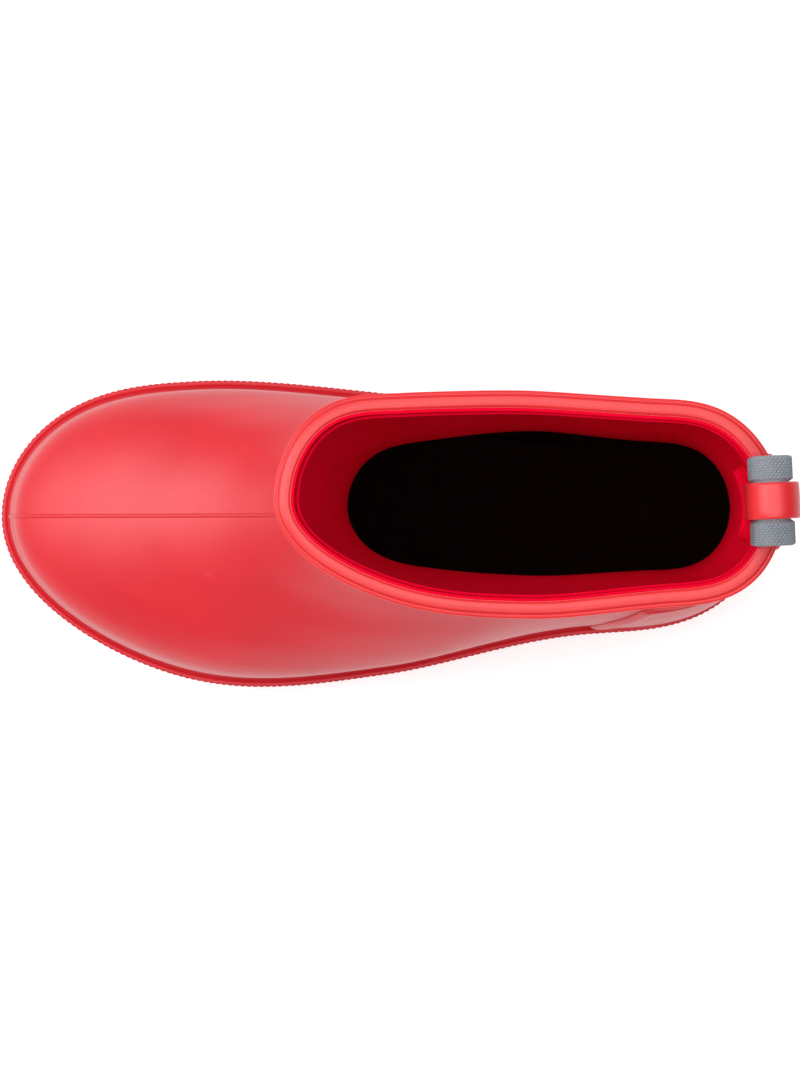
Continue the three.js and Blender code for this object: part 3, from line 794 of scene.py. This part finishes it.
def sole_layer(name, offset, low, high, rounding=0.5, columns=130):
    """A layer of the sole: slices across it from toe to heel, with rounded corners."""
    angles = np.linspace(END_ANGLE, math.pi - END_ANGLE, columns)
    spread = np.array([0.15, 0.4, 0.6, 0.85])
    slices = []
    for angle in angles:
        along = math.cos(angle)
        bottom, top = low(along), high(along)
        outer = outline(np.array([angle]), offset)[0]
        inner = outline(np.array([-angle]), offset)[0]
        width = np.linalg.norm(outer - inner)
        soft = min(rounding, width / 3, (top - bottom) / 3)
        way = (inner - outer) / width

        def at(share, inset, height):
            spot = outer + (inner - outer) * share + way * inset
            return (spot[0], spot[1], height)

        nip = soft * CORNER_NIP
        ring = [at(0, 0, top - soft), at(0, 0, bottom + soft), at(0, nip, bottom + nip), at(0, soft, bottom)]
        ring += [at(share, 0, bottom) for share in spread]
        ring += [at(1, -soft, bottom), at(1, -nip, bottom + nip), at(1, 0, bottom + soft)]
        ring += [at(1, 0, top - soft), at(1, -nip, top - nip), at(1, -soft, top)]
        ring += [at(share, 0, top) for share in spread[::-1]]
        ring += [at(0, soft, top), at(0, nip, top - nip)]
        slices.append(ring)
    return skin(name, np.array(slices), closed_across=False)


TREAD_DEPTH = 2.5
TREAD_GROOVE = 3
TREAD_PITCH = 10
TREAD_MARGIN = 7
TREAD_SWEEP = math.radians(18)
BAR_LENGTH = 60
BAR_REACH = 20
BAR_CORNERS = ((-1, -BAR_REACH), (1, -BAR_REACH), (1, BAR_REACH), (-1, BAR_REACH))
FOREFOOT_BARS = range(88, 8, -TREAD_PITCH)
HEEL_BARS = range(-46, -96, -TREAD_PITCH)


def make_outsole():
    outsole = sole_layer(
        "outsole_tread", WELT_REACH, tread_plane, lambda along: foot_plane(along) - SOLE_TOP, 0.6, 150,
    )
    cutter = sole_layer(
        "tread_cutter", WELT_REACH - TREAD_MARGIN, lambda along: CUTTER_LOW,
        lambda along: tread_plane(along) + TREAD_DEPTH, 0.05, 60,
    )
    bars = tread_bars()
    apply(cutter, "BOOLEAN", operation="INTERSECT", object=bars, solver="EXACT")
    apply(outsole, "BOOLEAN", operation="DIFFERENCE", object=cutter, solver="EXACT")
    for tool in (cutter, bars):
        bpy.data.objects.remove(tool)
    smooth_shading(outsole, 35)
    return dress(outsole, "boot", sole_rubber, "sole_rubber", "outsole")


def tread_bars():
    """Chevron bars for the tread's grooves, swept back from the middle of the sole to both sides."""
    middle = SECTIONS[0][4]
    half = TREAD_GROOVE / 2 / math.cos(TREAD_SWEEP)
    back, out = BAR_LENGTH * math.sin(TREAD_SWEEP), BAR_LENGTH * math.cos(TREAD_SWEEP)
    bars = []
    for x in (*FOREFOOT_BARS, *HEEL_BARS):
        ends = [(x - back, middle + out), (x, middle), (x - back, middle - out)]
        slices = [
            [(spot + side * half, y, side_height) for side, side_height in BAR_CORNERS] for spot, y in ends
        ]
        bars.append(skin("tread_bar", np.array(slices), closed_across=False))
    bpy.ops.object.select_all(action="DESELECT")
    for bar in bars:
        bar.select_set(True)
    bpy.context.view_layer.objects.active = bars[0]
    bpy.ops.object.join()
    return bars[0]


FOOTBED_MARGIN = 5.4
FOOTBED_LOW = 1.4
FOOTBED_FOAM_TOP = 5.0
FOOTBED_COVER_GAP = 0.3
FOOTBED_COVER_TOP = 6.1


def make_footbed():
    foam = sole_layer(
        "footbed_foam_pad", -FOOTBED_MARGIN, lambda along: foot_plane(along) + FOOTBED_LOW,
        lambda along: foot_plane(along) + FOOTBED_FOAM_TOP, 0.8, 90,
    )
    smooth_shading(foam)
    dress(foam, "footbed", footbed_foam, "footbed_foam", "footbed_foam")
    cover = sole_layer(
        "footbed_cover_cloth", -FOOTBED_MARGIN,
        lambda along: foot_plane(along) + FOOTBED_FOAM_TOP + FOOTBED_COVER_GAP,
        lambda along: foot_plane(along) + FOOTBED_COVER_TOP, 0.35, 90,
    )
    smooth_shading(cover)
    dress(cover, "footbed", footbed_cloth, "footbed_cloth", "footbed_cover")


# ------------------------------------------------------------------ pull loop

LOOP_TURN = math.radians(2.5)
LOOP_WIDTH = 21.4
LOOP_DEPTH = 12.0
LOOP_THICKNESS = 2.6
LOOP_CLEAR_HEIGHT = 12
LOOP_LEG_LENGTH = 16
LEG_OUTSIDE = (2.3, 3.8)
LEG_INSIDE = (-5.0, -5.8)
BAND_FOOT = 153.5
TAPE_FOOT = 151.0
LEG_STEP = 2.0
LEG_CLEARANCE = 0.8
LEG_FOOT = 144
CHANNEL_HALF = 4.75
SHOULDER_SINK = 1.1
CHANNEL_DEPTH = 0.5
LEG_LEAN = 0.08
KNURL_PITCH = 1.25
KNURL_DEPTH = 0.42
KNURL_STEP = 0.125
OUTER_BREADTH_BACK = 38.5
INNER_BREADTH_BACK = 38
HEEL_BEND = 25
PATCH_HALF = 10.9
LEG_TURN_LIMIT = 0.9
SHOWN_DEPTH = 9


def loop_path(step, leg_step):
    """Up the outside, over the arch and down the inside: rows of (side, turn, height). The turn runs from
    half a turn on the outside to none on the inside, and the height is where the leg or the arch starts."""
    bend = TOP_LINE_MM + LOOP_CLEAR_HEIGHT
    foot = TOP_LINE_MM - LOOP_LEG_LENGTH
    shown = TOP_LINE_MM - SHOWN_DEPTH
    up = np.concatenate([np.arange(foot, shown, leg_step), np.arange(shown, bend, step)])
    turns = np.linspace(math.pi, 0, round(math.pi * LOOP_DEPTH / 2 / step))
    path = [(math.pi, height) for height in up]
    path += [(turn, bend) for turn in turns]
    path += [(0.0, height) for height in up[::-1]]
    return np.array(path)


def stepped(height, at, low, high):
    """Goes from the low value to the high one where the height reaches the given one."""
    return low + (high - low) * smoothstep(at - LEG_STEP, at, height)


def strap_surface(path, places, depth):
    """Points of the strap's face at each path row and place across, sunk by the depth there."""
    turn = path[:, 0][:, None]
    height = path[:, 1][:, None]
    half = LOOP_DEPTH / 2 - depth
    x = half * np.cos(turn)
    y = np.broadcast_to(places, (len(path), len(places)))
    x = np.broadcast_to(x, y.shape)
    z = np.broadcast_to(height + half * np.sin(turn), y.shape)
    middle_x, middle_y = LOOP_MIDDLE.x / MM, LOOP_MIDDLE.y / MM
    arch = np.stack([
        middle_x + x * math.cos(LOOP_TURN) - y * math.sin(LOOP_TURN),
        middle_y + x * math.sin(LOOP_TURN) + y * math.cos(LOOP_TURN), z,
    ], axis=-1)
    outer_leg = turn > math.pi / 2
    levels = np.broadcast_to(level_at(np.minimum(height, TOP_LINE_MM)), y.shape)
    breadth = np.where(y > 0, OUTER_BREADTH_BACK, INNER_BREADTH_BACK)
    centred = y + middle_y - spline(SECTIONS, levels)[..., 4]
    narrowed = centred / (1 + np.where(outer_leg, LEG_OUTSIDE[1], LEG_INSIDE[1]) / HEEL_BEND)
    angles = math.pi - np.arcsin(np.clip(narrowed / breadth, -LEG_TURN_LIMIT, LEG_TURN_LIMIT))
    outer_face = stepped(height, BAND_FOOT - LEG_CLEARANCE, *LEG_OUTSIDE)
    inner_face = stepped(height, TAPE_FOOT - LEG_CLEARANCE, *LEG_INSIDE)
    offset = np.where(outer_leg, outer_face - depth, inner_face + depth)
    leg = wall_point(levels, angles, np.broadcast_to(offset, y.shape))
    share = 1 - smoothstep(TOP_LINE_MM - 0.5, TOP_LINE_MM + 6, np.broadcast_to(height, y.shape))
    share = share[..., None]
    # The inner leg is pushed back towards the wall until the arch hides it from above. It cuts into the
    # lining there.
    shadow = arch[..., 0] - LEG_LEAN * np.maximum(TOP_LINE_MM - height, 0)
    leg[..., 0] = np.where(outer_leg, leg[..., 0], np.minimum(leg[..., 0], shadow))
    leg[..., 1] = arch[..., 1]
    leg[..., 2] = arch[..., 2]
    return arch * (1 - share) + leg * share


def knurl_height(run, place):
    """Cross-hatched ridges."""
    first = 0.5 + 0.5 * np.cos(TURN * (run + place) / KNURL_PITCH)
    second = 0.5 + 0.5 * np.cos(TURN * (run - place) / KNURL_PITCH)
    return KNURL_DEPTH * np.maximum(first, second) ** 3


def make_strap():
    """One strap from leg to leg over the arch: two knurled shoulders with a smooth channel between them."""
    path = loop_path(KNURL_STEP, 1.0)
    half = LOOP_WIDTH / 2
    shoulder = np.arange(CHANNEL_HALF + 0.3, half - 0.01, KNURL_STEP)
    side = np.concatenate([[CHANNEL_HALF - 0.25, CHANNEL_HALF + 0.05], shoulder, [half]])
    channel = np.linspace(-CHANNEL_HALF + 0.6, CHANNEL_HALF - 0.6, 7)
    places = np.concatenate([-side[::-1], channel, side])
    steps = np.abs(np.diff(path[:, 1])) + np.abs(np.diff(path[:, 0])) * LOOP_DEPTH / 2
    run = np.concatenate([[0], np.cumsum(steps)])
    size = np.abs(places)
    on_shoulder = edge_profile(size - CHANNEL_HALF, 0.5) * edge_profile(half - size, 0.7)
    in_channel = smoothstep(CHANNEL_HALF + 0.05, CHANNEL_HALF - 0.25, size)
    outer_round = 0.75 * (1 - edge_profile(half - size, 0.8))
    inner_round = 0.35 * (1 - edge_profile(size - CHANNEL_HALF, 0.5)) * (1 - in_channel)
    ridges = knurl_height(run[:, None], places[None, :]) * smoothstep(0.2, 0.9, on_shoulder)
    depth = SHOULDER_SINK + KNURL_DEPTH + CHANNEL_DEPTH * in_channel + outer_round + inner_round - ridges
    outer = strap_surface(path, places, depth)
    back_places = np.linspace(half, -half, 12)
    inner = strap_surface(path, back_places, np.full((len(path), 12), LOOP_THICKNESS))
    strap = skin("pull_strap", np.concatenate([outer, inner], axis=1), closed_across=False)
    strap.data.materials.append(loop_rubber)
    strap.data.materials.append(channel_rubber)
    paint_channel(strap)
    smooth_shading(strap, 60)
    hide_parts("loop_strap", "loop_leg_outer", "loop_leg_inner")
    blend_loop(strap)


def paint_channel(strap):
    """The channel's faces take the smooth finish."""
    across = Vector((-math.sin(LOOP_TURN), math.cos(LOOP_TURN), 0))
    for polygon in strap.data.polygons:
        place = (polygon.center - LOOP_MIDDLE).dot(across) / MM
        polygon.material_index = 1 if abs(place) < CHANNEL_HALF + 0.1 else 0


LOOP_BAND_HALF = 4.35
LOOP_BAND_PROUD = 0.35
LOOP_BAND_THICKNESS = 2.0


def make_loop_band():
    """The smooth red band that lies in the strap's channel and stands a little proud of it."""
    path = loop_path(0.35, 1.0)
    half = LOOP_BAND_HALF
    side = [0.9, 2.5, half - 0.45, half - 0.12, half]
    places = np.array([-place for place in side[::-1]] + side)
    edge = 1 - edge_profile(half - np.abs(places), 0.45)
    crown = 0.12 * (places / half) ** 2
    depth = -LOOP_BAND_PROUD + 0.4 * edge + crown
    outer = strap_surface(path, places, np.broadcast_to(depth, (len(path), len(places))))
    back = np.linspace(half, -half, 5)
    under = np.full((len(path), 5), LOOP_BAND_THICKNESS - LOOP_BAND_PROUD)
    points = np.concatenate([outer, strap_surface(path, back, under)], axis=1)
    band = skin("pull_band", points, closed_across=False)
    smooth_shading(band, 60)
    dress(band, None, trim_rubber, "trim_rubber", "loop_band")
    blend_loop(band)


def blend_loop(piece):
    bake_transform(piece)


def make_outer_patch():
    """The patch that holds the strap's outer leg to the boot, laid over the leg's end."""
    patch = patch_on_back(
        "pull_patch_outer", LEG_FOOT - 10, LEG_FOOT + 6, math.asin(PATCH_HALF / OUTER_BREADTH_BACK), 0,
        lambda levels: stepped(height_at(levels), LEG_FOOT - LEG_CLEARANCE, 1.5, 4.1),
        0.9, 0.25, 0.0, 60, 50,
    )
    return dress(patch, "boot", trim_rubber, "trim_rubber", "loop_patch_outer")


def make_inner_patch():
    """The knitted patch that holds the strap's inner leg to the lining."""
    patch = patch_on_back(
        "pull_patch_inner", LEG_FOOT - 8, LEG_FOOT + 4, math.asin(PATCH_HALF / OUTER_BREADTH_BACK), 0,
        lambda levels: -stepped(height_at(levels), LEG_FOOT - LEG_CLEARANCE, 1.1, 3.1),
        0.8, 0.25, 0.0, 60, 50, -3.3,
    )
    return dress(patch, "boot", lining_knit, "lining_knit", "loop_patch_inner")


# ------------------------------------------------------------------ sealed layers


def dress_sealed_layers():
    for node, material in (
        ("heel_filler", sponge), ("midsole", sponge), ("insole_board", board), ("toe_puff", board),
        ("heel_stiffener", board),
    ):
        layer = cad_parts[node]
        layer.data.materials.clear()
        layer.data.materials.append(material)


def make_floor():
    bpy.ops.object.select_all(action="DESELECT")
    bpy.ops.mesh.primitive_plane_add(size=6)
    floor = bpy.context.object
    floor.name = "floor"
    paper = Finish("floor paper", 0.9, 0.1)
    tone = paper.noise(3, 2.0)
    paper.set("Base Color", paper.mix(tone, (0.60, 0.60, 0.60), (0.62, 0.62, 0.62)))
    paper.set("Emission Color", (1, 1, 1))
    paper.set("Emission Strength", PAPER_GLOW)
    floor.data.materials.append(paper.material)


make_camera()
bpy.context.scene.view_settings.view_transform = "Standard"
make_world(WORLD_BRIGHTNESS)
for name, place, size, power in LIGHTS:
    make_light(name, place, size, power)
make_floor()
make_upper()
make_parting_line("front_parting_line", 0.006, 0.985, front_parting_angle)
make_parting_line(
    "back_parting_line", float(level_at(BACK_PARTING_LOW)), float(level_at(TOP_LINE_MM - BACK_PARTING_STOP)),
    lambda levels: np.full_like(levels, math.pi),
)
make_top_band()
make_heel_counter()
make_leg_lining()
make_foot_lining()
make_collar_tape()
make_welt()
make_outsole()
make_footbed()
make_strap()
make_loop_band()
make_outer_patch()
make_inner_patch()
dress_sealed_layers()
